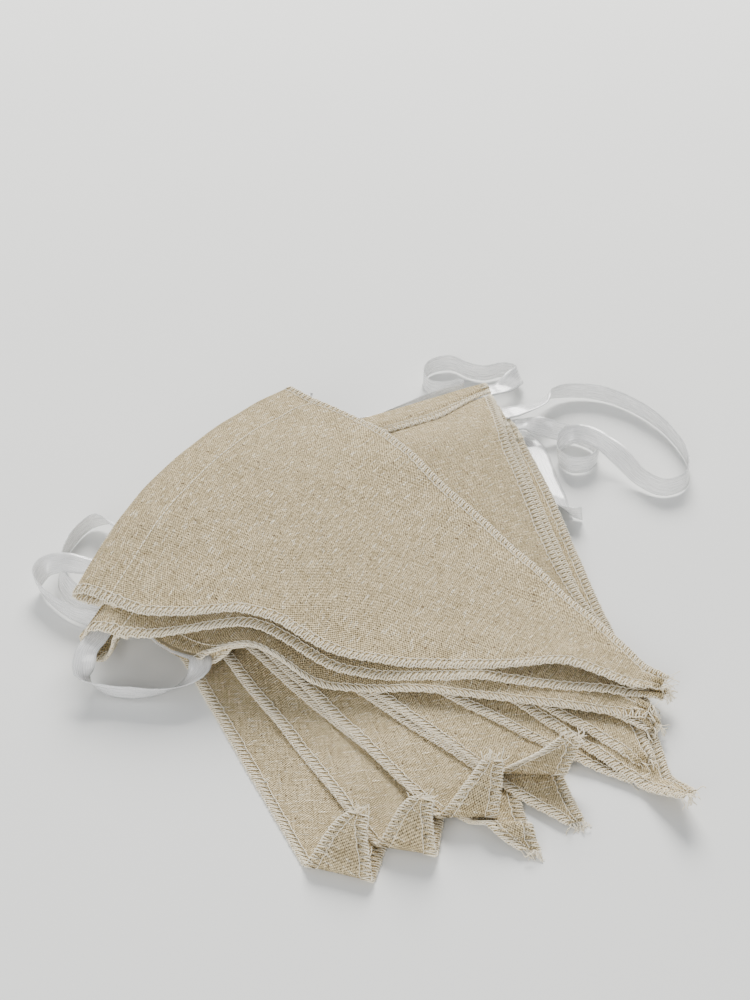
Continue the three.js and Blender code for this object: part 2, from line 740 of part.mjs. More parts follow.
function sweepRibbon(route) {
  const spots = route.map((q) => new THREE.Vector3(q.x, q.y, q.z));
  const curve = new THREE.CatmullRomCurve3(spots, false, "centripetal");
  const up = new THREE.Vector3(0, 0, 1);
  const stations = [];
  let side = null;
  for (let k = 0; k + 1 < route.length; k++) {
    const parts = Math.max(1, Math.round(spots[k].distanceTo(spots[k + 1]) / 5.5));
    const last = k + 2 === route.length ? 1 : 0;
    for (let n = 0; n < parts + last; n++) {
      const f = n / parts;
      const t = (k + f) / (route.length - 1);
      const tangent = curve.getTangent(t);
      let across = up.clone().cross(tangent);
      if (across.length() < 0.2 && side) across = side.clone();
      across.normalize();
      if (side && across.dot(side) < 0) across.negate();
      side = across.clone();
      const normal = tangent.clone().cross(across).normalize();
      const roll = rad(route[k].roll * (1 - f) + route[k + 1].roll * f);
      const w = across.multiplyScalar(Math.cos(roll)).addScaledVector(normal, Math.sin(roll));
      stations.push({ at: curve.getPoint(t), w, n: tangent.clone().cross(w).normalize() });
    }
  }
  const points = [];
  for (const n of [-0.5, 0.5]) {
    for (const q of stations) {
      for (const w of [-0.5, 0.5]) {
        const corner = q.at.clone();
        corner.addScaledVector(q.w, w * RIBBON_WIDTH).addScaledVector(q.n, n * RIBBON_THICK);
        points.push(corner.toArray());
      }
    }
  }
  return { body: stripOf(points, stations.length, 2), stations };
}

// Sheets laid later rest on a ribbon run that was laid before them.
function coverRun(stations, marked) {
  for (const { at } of stations) {
    const square = [
      [at.x - 6, at.y - 6],
      [at.x + 6, at.y - 6],
      [at.x + 6, at.y + 6],
      [at.x - 6, at.y + 6],
    ];
    const nodes = nodesUnder(square);
    eachNode((k) => {
      if (nodes[k]) marked[k] = Math.max(marked[k], at.z + RIBBON_THICK / 2);
    });
  }
}

const cloth = new THREE.MeshStandardMaterial({ color: 0xc9bb9d, roughness: 0.95, name: "cloth" });
const satin = new THREE.MeshStandardMaterial({ color: 0xf2f1ec, roughness: 0.3, name: "satin" });

const root = new THREE.Group();
root.name = "bunting";
const top = newField(0);
const laidByName = {};
const ribbonPieces = [];

function addLoop(loop, pile) {
  const { body, stations } = sweepRibbon(routeOf(loop, laidByName, pile));
  ribbonPieces.push(body);
  if (loop.before) coverRun(stations.slice(2), top);
}

for (const p of PENNANTS) {
  const pile = top.slice();
  const laid = layPennant(p, top);
  laidByName[p.name] = laid;
  root.add(meshOf(p.name, pennantSolid(laid), cloth));
  if (p.hem !== "pressed") ribbonPieces.push(channelLeg(laid));
  for (const loop of LOOPS) {
    if (loop.before && loop.to.name === p.name) addLoop(loop, pile);
  }
}
for (const loop of LOOPS.filter((l) => !l.before)) addLoop(loop, top);
root.add(meshOf("ribbon", Manifold.union(ribbonPieces).simplify(0.02), satin));

export default root;
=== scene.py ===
"""Cloth pennants threaded on one satin ribbon and dropped in a loose fanned pile.

The layout is worked out in millimetres, as the solids are, and each mesh is made in metres.
"""

import math

import bpy
import numpy as np
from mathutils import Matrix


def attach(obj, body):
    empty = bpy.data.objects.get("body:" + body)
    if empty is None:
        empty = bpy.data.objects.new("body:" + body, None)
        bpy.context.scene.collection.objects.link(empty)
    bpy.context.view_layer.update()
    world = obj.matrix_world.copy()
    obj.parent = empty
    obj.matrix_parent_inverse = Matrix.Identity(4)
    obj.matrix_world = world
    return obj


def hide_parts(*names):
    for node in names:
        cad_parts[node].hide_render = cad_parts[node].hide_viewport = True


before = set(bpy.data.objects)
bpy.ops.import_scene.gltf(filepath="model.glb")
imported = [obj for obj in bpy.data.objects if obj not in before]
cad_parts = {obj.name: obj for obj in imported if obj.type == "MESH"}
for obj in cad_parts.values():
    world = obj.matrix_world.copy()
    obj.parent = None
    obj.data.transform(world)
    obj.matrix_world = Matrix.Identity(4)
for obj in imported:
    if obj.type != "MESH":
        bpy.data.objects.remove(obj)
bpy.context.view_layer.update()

# Sizes of one pennant and its place in the pile, in millimetres.
HEADING = 185.0
LENGTH = 250.0
TIP = 8.0
CLOTH = 1.0
CHANNEL = 1.6
STITCH = 16.0
HEM = 23.0
GAP = 0.4
ORIGIN_X = -1.4
ORIGIN_Y = 36.9
HALF_ANGLE = math.atan((HEADING / 2 - TIP / 2) / LENGTH)

# The cloth that shows is thinner than its solid and lies in the middle of it.
CLOTH_THICK = 0.7
CLOTH_LOW = (CLOTH - CLOTH_THICK) / 2
CLOTH_HIGH = (CLOTH + CLOTH_THICK) / 2
FINE_GAP = 0.25

# The ribbon: its solid's thickness, the thinner satin that shows, and its distance from the heading fold.
RIBBON_WIDTH = 10.0
RIBBON_THICK = 1.0
RIBBON_SHOWN = 0.28
RIBBON_COLUMNS = 7
RIBBON_V = 7.9
RIBBON_STEP = 2.5
COVER_STEP = 5.5

# Shares of half the heading: room kept at a channel's mouth, and a loop's first points past it.
MOUTH_ROOM = 0.17
MOUTH_PASTS = (0.03, 0.09)

# One row for each pennant, lowest first.
# x, y: near heading corner. aim: direction of the near edge in degrees.
# hem: pressed, or a channel under or over the sheet.
PENNANTS = [
    {"name": "a", "x": -126, "y": 71, "aim": -65.0, "hem": "pressed"},
    {"name": "b", "x": -122, "y": 75, "aim": -59.0, "hem": "pressed"},
    {"name": "c", "x": -119, "y": 77, "aim": -55.5, "hem": "pressed", "sway": 28},
    {"name": "d", "x": -116, "y": 77, "aim": -53.7, "hem": "pressed"},
    {"name": "e", "x": -115, "y": 77, "aim": -49.5, "hem": "pressed", "sway": 22},
    {"name": "f", "x": -114, "y": 77, "aim": -48.2, "hem": "pressed", "sway": 14},
    {"name": "g", "x": -113, "y": 76, "aim": -43.5, "hem": "under", "sway": 30},
    {"name": "h", "x": -84, "y": 60, "aim": -36.1, "hem": "over", "sway": -14},
    {"name": "i", "x": -90, "y": 67, "aim": -36.6, "hem": "over", "sway": -6, "draw": 0.95},
    {"name": "j", "x": -96, "y": 94, "aim": -37.1, "hem": "over"},
    {"name": "k", "x": -146, "y": -17, "aim": -9.2, "hem": "under", "cut": 66, "over": 44},
    {"name": "l", "x": -130, "y": -20, "aim": -7.2, "hem": "under", "draw": 0.96},
    {"name": "m", "x": -135, "y": 0, "aim": -10.1, "hem": "under", "bow": 9, "draw": 0.99},
]

# How far an edge lies outside its straight line: distance from the heading, then outwards.
EDGES = {
    "i": {"far": [(0, 0), (70, -3), (200, 0)]},
    "j": {"far": [(0, 0), (70, -9), (130, -9), (215, 0)]},
    "k": {"near": [(66, 0), (86, -5), (124, 6), (180, 3), (250, 0)]},
    "l": {"near": [(0, 0), (30, 4), (70, -8), (118, 7), (180, 3), (238, -1)]},
    "m": {
        "near": [(0, 0), (44, 12), (76, 3), (124, 13), (180, 6), (208, -3), (245, 1)],
        "far": [(0, 0), (50, 15), (120, 12), (200, 7), (245, 0)],
    },
}

# Tips that turn: fold line to tip, tilt of that line, then start, angle and radius of each bend.
TIPS = {
    "a": {"fold": 28, "skew": -23, "bends": [(0, 168, 2.8)]},
    "b": {"fold": 22, "skew": -25, "bends": [(0, 158, 2.8)]},
    "c": {"fold": 21, "skew": -16, "bends": [(0, 42, 3), (7, -84, 3), (14, 42, 3)]},
    "d": {"fold": 24, "skew": -16, "bends": [(0, 160, 3)]},
    "f": {"fold": 30, "skew": -22, "bends": [(0, 112, 4)]},
    "h": {"fold": 12, "skew": 0, "bends": [(0, 35, 9)]},
}

# How far the end of a turned tip is drawn from its plain fold: x, y and z.
PULLS = {
    "a": (-9.0, 4.0, 7.0),
    "b": (-6.0, 3.0, 8.0),
    "d": (4.0, 2.0, 6.0),
    "f": (2.0, -2.0, -8.0),
    "h": (7.0, -8.0, 4.0),
}

# How steeply a sheet may fall on its left and on its right.
FALL = {"pressed": (0.4, 0.4), "over": (0.3, 0.25), "under": (0.1, 0.28), "k": (0.55, 0.28)}

# The near corners of the two top pennants reach past the pile and sag there.
SAG = {"names": "lm", "x": -142, "y": -22, "h": 8, "reach": 48}

# Soft waves: crest, height, half lengths along and across, turn in degrees.
WAVES = {
    "k": [{"x": -60, "y": -30, "h": 14, "along": 20, "across": 40, "turn": -10}],
    "m": [{"x": 86, "y": -40, "h": 6, "along": 24, "across": 26, "turn": -10}],
}

# Route of the ribbon between the channels: x, y, z and roll. No z: it lies on what is below.
# pasts: how far past each mouth the loop's first and last points lie, where it turns tightly.
LOOPS = [
    {
        "start": None,
        "end": ("g", "far"),
        "points": [
            (101, 87, 5.4, 75), (95, 89, 5.0, 60), (91.5, 97, 3.0, 25), (90, 108, 1.2, 5),
            (87.5, 120, 0.9, 0), (85.5, 132, 0.9, 0), (83.5, 144, 1.0, 0), (80, 153, 1.5, 0),
            (74, 158, 2.4, 0),
        ],
    },
    {
        "start": ("g", "near"),
        "end": ("h", "near"),
        "points": [
            (-122, 71, 12, 15), (-129, 79, 8, 50), (-136, 81, 6, 80), (-144, 69, 5.6, 90),
            (-148, 51, 5.6, 85), (-146, 37, 5.2, 65), (-140, 27, 4.8, 50), (-131, 19, 5.6, 80),
            (-121, 17, 5.6, 90), (-114, 12, 5.6, 90), (-117, 6, 5.8, 90), (-127, 7, 6.0, 90),
            (-139, 12, 6.0, 85), (-150, 22, 5.8, 80), (-158, 34, 6.2, 75), (-155, 42, 8.6, 55),
            (-146, 42, 11.4, 30), (-135, 38, 12.6, 12), (-122, 37, 12.5, 5), (-108, 37, None, 0),
            (-97, 42, None, 0),
        ],
    },
    {
        "start": ("h", "far"),
        "end": ("i", "far"),
        "points": [
            (84, 158, 8.4, 40), (94, 156.5, 6.4, 75), (104, 153, 5.8, 88), (112, 146, 5.8, 88),
            (113.5, 137, 5.8, 88), (108, 128.5, 5.8, 88), (99, 127, 5.8, 88), (93, 134, 5.8, 85),
            (93.5, 143, 7.2, 80), (99, 148, 9.6, 60), (107, 146, 11.6, 30), (116, 138, 11.8, 20),
            (125, 127, 9.2, 50), (133, 116, 6.4, 75), (143, 109, 5.7, 85), (154, 114, 5.7, 85),
            (158, 131, 5.7, 85), (150, 160, 5.7, 85), (135, 181, 5.7, 85), (119, 192, 5.7, 85),
            (101, 193, 6.5, 80), (90, 185, 9, 60), (86, 175, 11, 25),
        ],
    },
    {
        "start": ("i", "near"),
        "end": ("j", "near"),
        "points": [
            (-102, 54, None, 0), (-109, 60, None, 0), (-111, 70, None, 0), (-107, 79, None, 0),
        ],
    },
    {
        "start": ("j", "far"),
        "end": ("k", "far"),
        "points": [
            (73, 199, 9.5, 30), (77, 208, 8.0, 70), (69, 214, 6.2, 85), (59, 211, 5.8, 88),
            (50, 214, 5.8, 88), (41, 221, 5.8, 88), (31, 218, 5.8, 88), (26, 207, 5.8, 88),
            (30, 197, 5.8, 88), (38, 196, 5.8, 88), (46, 199, 5.8, 88), (47, 195, 5.8, 88),
            (37, 189.5, 5.8, 88), (26, 183, 5.8, 88), (12, 173, 6.2, 80), (-4, 162, 8.5, 60),
            (-20, 156, 14, 35), (-35, 153, 20, 15),
        ],
    },
    {
        "start": ("k", "near"),
        "end": ("l", "near"),
        "points": [
            (-83, -39, 9, 30), (-93, -42, 6.6, 55), (-106, -42, 5.6, 75), (-118, -40, 5.8, 70),
            (-127, -36, 9.5, 40),
        ],
    },
    {
        "start": ("l", "far"),
        "end": ("m", "far"),
        "points": [],
        "pasts": ((0.022, 0.03), (0.022, 0.026)),
    },
]

# Loops that lie under later pennants: the pennant that covers each, and its place in LOOPS.
HIDDEN_LOOPS = {"h": 1, "j": 3}

# The channels in the order of the ribbon, and whether it runs from the far mouth to the near one.
LEGS = [("g", True), ("h", False), ("i", True), ("j", False), ("k", True), ("l", False), ("m", True)]


def smooth(t):
    t = np.clip(t, 0, 1)
    return t * t * (3 - 2 * t)


def half_width(v):
    return TIP / 2 + (HEADING - TIP) / 2 * (1 - v / LENGTH)


# The grid of heights that all sheets share, as in the solids.
CELL = 15
GRID_X = GRID_Y = -183
GRID_NX = 25
GRID_NY = 29
CELL_PARTS = 4
NODE_REACH = 2.6
SETTLE_PASSES = 16
MIDDLE_X = -70
MIDDLE_BLEND = 60
node_x = GRID_X + CELL * np.arange(GRID_NX)
node_y = GRID_Y + CELL * np.arange(GRID_NY)


def height_at(field, x, y):
    """Height between nodes; every cell is split along the same diagonal."""
    fx = (np.asarray(x, float) - GRID_X) / CELL
    fy = (np.asarray(y, float) - GRID_Y) / CELL
    i = np.clip(np.floor(fx).astype(int), 0, GRID_NX - 2)
    j = np.clip(np.floor(fy).astype(int), 0, GRID_NY - 2)
    s = fx - i
    t = fy - j
    low = field[i, j]
    high = field[i + 1, j + 1]
    right = field[i + 1, j]
    left = field[i, j + 1]
    below = low + (right - low) * s + (high - right) * t
    above = low + (left - low) * t + (high - left) * s
    return np.where(s > t, below, above)


def inside_or_near(outline, x, y, reach):
    inside = np.zeros(x.shape, bool)
    near = np.zeros(x.shape, bool)
    points = np.asarray(outline, float)
    for (ax, ay), (bx, by) in zip(points, np.roll(points, -1, axis=0)):
        if ay != by:
            crosses = ((ay > y) != (by > y)) & (x < ax + (bx - ax) * (y - ay) / (by - ay))
            inside ^= crosses
        length2 = (bx - ax) ** 2 + (by - ay) ** 2 or 1
        t = np.clip(((x - ax) * (bx - ax) + (y - ay) * (by - ay)) / length2, 0, 1)
        near |= np.hypot(ax + (bx - ax) * t - x, ay + (by - ay) * t - y) < reach
    return inside | near


def nodes_under(outline):
    """Mark the nodes of every triangle of the grid that an outline touches."""
    marks = np.zeros((GRID_NX, GRID_NY), bool)
    base_x, base_y = np.meshgrid(node_x[:-1], node_y[:-1], indexing="ij")
    for side in (0, 1):
        touched = np.zeros(base_x.shape, bool)
        for s in range(CELL_PARTS + 1):
            for t in range(s + 1):
                dx, dy = (t, s) if side else (s, t)
                x = base_x + dx * CELL / CELL_PARTS
                y = base_y + dy * CELL / CELL_PARTS
                touched |= inside_or_near(outline, x, y, NODE_REACH)
        marks[:-1, :-1] |= touched
        marks[1:, 1:] |= touched
        if side:
            marks[:-1, 1:] |= touched
        else:
            marks[1:, :-1] |= touched
    return marks


def settle(need, fall):
    """Lift a field until it falls no more steeply than allowed, then soften it."""
    now = need.copy()
    side = smooth((node_x - MIDDLE_X) / MIDDLE_BLEND)
    drop = ((fall[0] * (1 - side) + fall[1] * side) * CELL)[:, None]
    for _ in range(SETTLE_PASSES):
        edge = np.pad(now, 1, constant_values=-1e9)
        for di in (0, 1, 2):
            for dj in (0, 1, 2):
                around = edge[di:di + GRID_NX, dj:dj + GRID_NY]
                now = np.maximum(now, around - drop * math.hypot(di - 1, dj - 1))
    for _ in range(2):
        around = now[1:-1, :-2] + now[1:-1, 2:] + now[:-2, 1:-1] + now[2:, 1:-1]
        softer = now.copy()
        softer[1:-1, 1:-1] = (4 * now[1:-1, 1:-1] + around) / 8
        now = softer
    return now


def frame_of(p):
    """Directions along and across a pennant, and the middle of its heading."""
    axis = math.radians(p["aim"]) - HALF_ANGLE
    along = np.array([math.cos(axis), math.sin(axis)])
    across = np.array([-along[1], along[0]])
    return along, across, np.array([p["x"], p["y"]]) + across * HEADING / 2


def out_at(table, v):
    """How far an edge lies outside its straight line at a distance from the heading."""
    if not table:
        return np.zeros_like(v)
    stops = np.array(table, float)
    k = np.clip(np.searchsorted(stops[:, 0], v, side="right") - 1, 0, len(stops) - 2)
    t = smooth((v - stops[k, 0]) / (stops[k + 1, 0] - stops[k, 0]))
    return stops[k, 1] + (stops[k + 1, 1] - stops[k, 1]) * t


def plan_point(p, v, u):
    """Place on the table of a point v from the heading and u from the middle line."""
    v, u = np.broadcast_arrays(np.asarray(v, float), np.asarray(u, float))
    along, across, middle = frame_of(p)
    part = u / np.maximum(half_width(v), 1)
    bulge = p.get("bow", 0) * np.sin(np.pi * np.clip((part + 1) / 2, 0, 1)) * np.exp(-v / 90)
    edges = EDGES.get(p["name"], {})
    out = np.where(part < 0, -out_at(edges.get("near"), v), out_at(edges.get("far"), v))
    a = v * p.get("draw", 1) - bulge
    h = u + p.get("sway", 0) * (v / LENGTH) ** 3 + out * np.clip(np.abs(part), 0, 1) ** 3
    return middle + a[..., None] * along + h[..., None] * across


def row_points(p, v, s, tilt=0.0):
    """Points across the pennant: s runs from -1 at the near edge to 1 at the far edge."""
    s = np.asarray(s, float)
    inset = p.get("cut", 0) * np.clip(1 - (s + 1) * HEADING / 2 / p.get("over", 1), 0, 1)
    base = v + inset * (1 - v / LENGTH)
    u = s * half_width(base)
    for _ in range(4):
        u = s * half_width(base - tilt * u)
    return plan_point(p, base - tilt * u, u), base - tilt * u, u


def cross_line(p, v, near=0.0, far=0.0, tilt=0.0, count=2):
    first, last = -1 - near, 1 + far
    stops = list(np.linspace(-1, 1, count))
    if p.get("cut"):
        stops.append(2 * p["over"] / HEADING - 1)
    stops = sorted([s for s in stops if first < s < last] + [first, last])
    return row_points(p, v, stops, tilt)[0]


def columns_of(p):
    return 9 if p.get("bow") else 2


def band_outline(p, start, end, near=0.0, far=None):
    far = near if far is None else far
    low = cross_line(p, start, near, far, count=columns_of(p))
    high = cross_line(p, end, near, far, count=columns_of(p))
    return np.concatenate([low, high[::-1]])


def fold_at(p):
    tip = TIPS.get(p["name"])
    return LENGTH - (tip["fold"] if tip else 0), math.radians(tip["skew"]) if tip else 0.0


def sheet_outline(p):
    end, skew = fold_at(p)
    start = cross_line(p, 0, count=columns_of(p))
    finish = cross_line(p, end, tilt=math.tan(skew))
    steps = 14 if p["name"] in EDGES else 6 if p.get("sway") else 0
    v = HEM + 3 + (end - 50) * np.arange(steps) / max(steps - 1, 1)
    far = plan_point(p, v, half_width(v))
    near = plan_point(p, v, -half_width(v))
    return np.concatenate([start, far, finish[::-1], near[::-1]])


def wave_height(p, x, y):
    total = 0.0
    for wave in WAVES.get(p["name"], []):
        c, s = math.cos(math.radians(wave["turn"])), math.sin(math.radians(wave["turn"]))
        dx, dy = x - wave["x"], y - wave["y"]
        along = (dx * c + dy * s) / wave["along"]
        across = (-dx * s + dy * c) / wave["across"]
        total = total + wave["h"] * np.exp(-along ** 2 - across ** 2)
    return total


def lay_sheet(p, top):
    """Lay one pennant on the pile: its heights on the shared grid, and the pile's new top."""
    sheet = nodes_under(sheet_outline(p))
    extra = CLOTH * nodes_under(band_outline(p, 0, HEM))
    if p["hem"] != "pressed":
        channel = nodes_under(band_outline(p, 0, STITCH, MOUTH_ROOM))
        sheet = sheet | channel
        extra = np.where(channel, CHANNEL + CLOTH, extra)
    over = p["hem"] == "over"
    need = np.where(sheet, np.where(top > 0, top + GAP, 0) + (0 if over else extra), 0.0)
    x, y = np.meshgrid(node_x, node_y, indexing="ij")
    need = need + np.where(sheet, wave_height(p, x, y), 0.0)
    sag = SAG["h"] if p["name"] in SAG["names"] else 0
    away = np.hypot(x - SAG["x"], y - SAG["y"]) / SAG["reach"]
    soft = settle(need, FALL.get(p["name"], FALL[p["hem"]]))
    field = np.maximum(need, soft - sag * np.exp(-away ** 2))
    raised = field + CLOTH + (extra if over else 0)
    return field, np.where(sheet, np.maximum(top, raised), top)


def ribbon_rise(p):
    return (CLOTH if p["hem"] == "over" else -CHANNEL) + CHANNEL / 2


def mouth_points(laid, end, pasts):
    points = []
    for past in pasts:
        line = cross_line(laid, RIBBON_V, past, past, count=columns_of(laid))
        x, y = line[0] if end == "near" else line[-1]
        points.append((x, y, float(height_at(laid["field"], x, y)) + ribbon_rise(laid), 0))
    return points


def resting_z(top, x, y):
    turn = np.arange(12) * math.pi / 6
    reach = np.array([[2.0], [5.0], [7.5]])
    z = float(height_at(top, x + reach * np.cos(turn), y + reach * np.sin(turn)).max())
    return max(z, 0) + (GAP if z > 0 else 0) + RIBBON_THICK / 2


def loop_route(loop, laid, top):
    """The points of a loop, from just past one mouth to just past the next."""
    start_pasts, end_pasts = loop.get("pasts", (MOUTH_PASTS, MOUTH_PASTS))
    start = []
    if loop["start"]:
        name, side = loop["start"]
        start = mouth_points(laid[name], side, start_pasts)
    name, side = loop["end"]
    end = mouth_points(laid[name], side, end_pasts)[::-1]
    middle = [(x, y, resting_z(top, x, y) if z is None else z, roll) for x, y, z, roll in loop["points"]]
    return start + middle + end


def between(a, b, at_a, at_b, t):
    """The value at t on the straight line through a and b."""
    return ((at_b - t) * a + (t - at_a) * b) / (at_b - at_a)


def curve_through(points, step):
    """Centripetal Catmull-Rom curve through points of x, y, z and roll."""
    p = np.array(points, float)
    p = np.vstack([2 * p[0] - p[1], p, 2 * p[-1] - p[-2]])
    out = []
    for k in range(1, len(p) - 2):
        q = p[k - 1:k + 3]
        chords = np.linalg.norm(np.diff(q[:, :3], axis=0), axis=1)
        knots = np.concatenate([[0], np.cumsum(np.sqrt(chords))])
        parts = max(1, round(float(np.linalg.norm(q[2, :3] - q[1, :3])) / step))
        for t in knots[1] + (knots[2] - knots[1]) * np.arange(parts) / parts:
            a = [between(q[n], q[n + 1], knots[n], knots[n + 1], t) for n in range(3)]
            b = [between(a[n], a[n + 1], knots[n], knots[n + 2], t) for n in range(2)]
            point = between(b[0], b[1], knots[1], knots[2], t)
            f = (t - knots[1]) / (knots[2] - knots[1])
            point[3] = q[1, 3] * (1 - f) + q[2, 3] * f
            out.append(point)
    out.append(p[-2])
    return np.array(out)


def cover_run(stations, top):
    """Raise the pile's top to the ribbon's upper side along a run."""
    half = RIBBON_WIDTH / 2 + 1
    for x, y, z, _ in stations:
        square = [(x - half, y - half), (x + half, y - half), (x + half, y + half), (x - half, y + half)]
        top = np.where(nodes_under(square), np.maximum(top, z + RIBBON_THICK / 2), top)
    return top


def lay_pile():
    """Lay every pennant in order, with the ribbon runs that lie between them."""
    top = np.zeros((GRID_NX, GRID_NY))
    laid = {}
    routes = {}
    for p in PENNANTS:
        before = top
        field, top = lay_sheet(p, top)
        laid[p["name"]] = dict(p, field=field)
        if p["name"] in HIDDEN_LOOPS:
            n = HIDDEN_LOOPS[p["name"]]
            routes[n] = loop_route(LOOPS[n], laid, before)
            top = cover_run(curve_through(routes[n], COVER_STEP)[2:], top)
    for n, loop in enumerate(LOOPS):
        if n not in routes:
            routes[n] = loop_route(loop, laid, top)
    return laid, routes


# The fine grid that the visible sheets are put in order on.
FINE = 3.0
FINE_PASSES = 16
FINE_REACH = 4.3
CHANNEL_ROOM = 0.5
RIPPLE_COUNT = 7
RIPPLE = 0.16
EDGE_WAVE = 0.9
EDGE_REACH = 12
RIPPLE_SEED = 100
THREAD_SEED = 500
fine_x = np.arange(GRID_X, GRID_X + CELL * (GRID_NX - 1) + 0.1, FINE)
fine_y = np.arange(GRID_Y, GRID_Y + CELL * (GRID_NY - 1) + 0.1, FINE)
FX, FY = np.meshgrid(fine_x, fine_y, indexing="ij")


def soften(grid, passes):
    for _ in range(passes):
        g = np.pad(grid, 1, mode="edge")
        grid = (4 * grid + g[:-2, 1:-1] + g[2:, 1:-1] + g[1:-1, :-2] + g[1:-1, 2:]) / 8
    return grid


def sample(grid, x, y):
    fx = np.clip((x - fine_x[0]) / FINE, 0, len(fine_x) - 1.001)
    fy = np.clip((y - fine_y[0]) / FINE, 0, len(fine_y) - 1.001)
    i, j = fx.astype(int), fy.astype(int)
    s, t = fx - i, fy - j
    low = grid[i, j] * (1 - s) + grid[i + 1, j] * s
    high = grid[i, j + 1] * (1 - s) + grid[i + 1, j + 1] * s
    return low * (1 - t) + high * t


def ripple(p, seed):
    """Low ripples of the cloth, a little stronger along its edges."""
    draw = np.random.default_rng(seed)
    along, across, middle = frame_of(p)
    v = (FX - middle[0]) * along[0] + (FY - middle[1]) * along[1]
    u = (FX - middle[0]) * across[0] + (FY - middle[1]) * across[1]
    total = np.zeros_like(FX)
    for _ in range(RIPPLE_COUNT):
        turn = draw.uniform(0, 2 * math.pi)
        length = draw.uniform(26, 70)
        place = FX * math.cos(turn) + FY * math.sin(turn)
        total += np.sin(place * 2 * math.pi / length + draw.uniform(0, 6.3))
    inward = np.maximum(half_width(np.clip(v, 0, LENGTH)) - np.abs(u), 0)
    lift = RIPPLE * total
    for sign in (-1, 1):
        length = draw.uniform(38, 60)
        start = draw.uniform(0, 6.3)
        wave = np.maximum(np.sin(v * 2 * math.pi / length + start), 0) ** 1.5
        lift += np.where(u * sign > 0, EDGE_WAVE * wave * np.exp(-inward / EDGE_REACH), 0)
    return lift


def fine_heights(laid):
    """Smooth every sheet on the fine grid and keep the sheets in order there."""
    top = np.zeros_like(FX)
    for n, p in enumerate(laid.values()):
        heights = soften(height_at(p["field"], FX, FY), FINE_PASSES)
        if n:
            heights = heights + soften(ripple(p, RIPPLE_SEED + n), 1)
        over = p["hem"] == "over"
        sheet = inside_or_near(sheet_outline(p), FX, FY, FINE_REACH)
        hem = inside_or_near(band_outline(p, 0, HEM), FX, FY, FINE_REACH) * CLOTH
        if p["hem"] != "pressed":
            channel = inside_or_near(band_outline(p, 0, STITCH), FX, FY, FINE_REACH)
            hem = np.where(channel, CHANNEL + CLOTH, hem)
        need = np.where(top > 0, top + FINE_GAP, 0) - CLOTH_LOW + (0 if over else hem)
        need = np.where(top > 0, need, 0 if over else hem)
        heights = np.where(sheet, np.maximum(heights, need), heights)
        p["fine"] = heights
        puff = CHANNEL_ROOM * (hem > CLOTH)
        top = np.where(sheet, np.maximum(top, heights + CLOTH_HIGH + (hem if over else puff)), top)


def turned(bends, e):
    """Follow a turned tip past its fold line: how far out, how high, and its lean."""
    x = z = lean = at = 0.0
    for start, angle, radius in bends:
        if e <= start:
            break
        go = max(start, at) - at
        x, z, at = x + go * math.cos(lean), z + go * math.sin(lean), at + go
        turn = math.radians(angle)
        run = abs(turn) * radius
        part = min(1.0, (e - at) / run)
        sign = math.copysign(1, turn)
        to = lean + turn * part
        x += sign * radius * (math.sin(to) - math.sin(lean))
        z += sign * radius * (math.cos(lean) - math.cos(to))
        lean, at = to, at + part * run
        if part < 1:
            return x, z, lean
    go = max(e - at, 0)
    return x + go * math.cos(lean), z + go * math.sin(lean), lean


def hem_rows(p):
    """Rows of the turned flap, from its raw edge round the heading fold: v and height.

    drop is the height of the fold, and stop is how far from the heading it begins to turn.
    """
    if p["hem"] == "pressed":
        drop, stop = 1.0, 1.0
        rows = [(v, -0.5) for v in (23, 20, 17, 14, 11, 8, 5, 2.4)]
    else:
        drop, stop = CHANNEL + CLOTH, 1.6
        rows = [(23, -0.5), (20.5, -0.5), (18.2, -0.5), (16.6, -0.55), (15.4, -1.1), (14.3, -1.8)]
        rows += [(v, -2.1) for v in (12.5, 10, 7.5, 5, 3)]
    for k in range(1, 8):
        turn = math.pi * k / 8
        rows.append((stop - stop * math.sin(turn), 0.5 - drop / 2 - drop / 2 * math.cos(turn)))
    return [(v, CLOTH - n if p["hem"] == "over" else n) for v, n in rows]


# Rows of the cloth: the first after the fold, their spacing, and the spacing in a turned tip.
FIRST_ROW = 3.0
ROW_STEP = 2.9
TIP_STEP = 1.2
CHANNEL_PUFF = 0.4
COLUMNS = 61


def cloth_rows(p):
    """All rows of the cloth: v, height over the sheet's underside, and e past the fold line."""
    end, skew = fold_at(p)
    rows = [(v, n, 0.0) for v, n in hem_rows(p)]
    puff = {"pressed": 0.0, "over": -CHANNEL_PUFF, "under": CHANNEL_PUFF}[p["hem"]]
    for v in np.linspace(FIRST_ROW, end, round((end - FIRST_ROW) / ROW_STEP)):
        lift = puff * math.sin(math.pi * v / STITCH) if v < STITCH else 0.0
        rows.append((v, 0.5 + lift, 0.0))
    tip = TIPS.get(p["name"])
    if tip:
        length = tip["fold"] * math.cos(skew)
        steps = math.ceil(length / TIP_STEP)
        for e in np.arange(1, steps + 1) * length / steps:
            rows.append((end + e / math.cos(skew), 0.5, float(e)))
    return rows


# The open mouth of a channel: how far its hem drops at the near edge, and over what part.
GAPE = {
    "k": {"drop": 3.0, "part": 0.2},
    "l": {"drop": 13.0, "part": 0.44},
    "m": {"drop": 2.0, "part": 0.2},
}


def gape(p, v, s):
    """How far the flap hangs below its channel near the mouth."""
    mouth = GAPE.get(p["name"])
    if not mouth:
        return np.zeros_like(s)
    if v >= STITCH:
        return np.zeros_like(s)
    near = smooth(1 - (s + 1) / mouth["part"])
    return mouth["drop"] * near * max(math.sin(math.pi * v / STITCH), 0) ** 0.7


# The upper tips end in a ruffle: how far each is raised, and its phase.
RUFFLES = {"i": (0.2, 0.4), "j": (0.5, 2.0), "k": (1.0, 3.4), "l": (2.0, 5.2), "m": (3.2, 1.0)}
RUFFLE_WAVE = 1.1
RUFFLE_LENGTH = 16

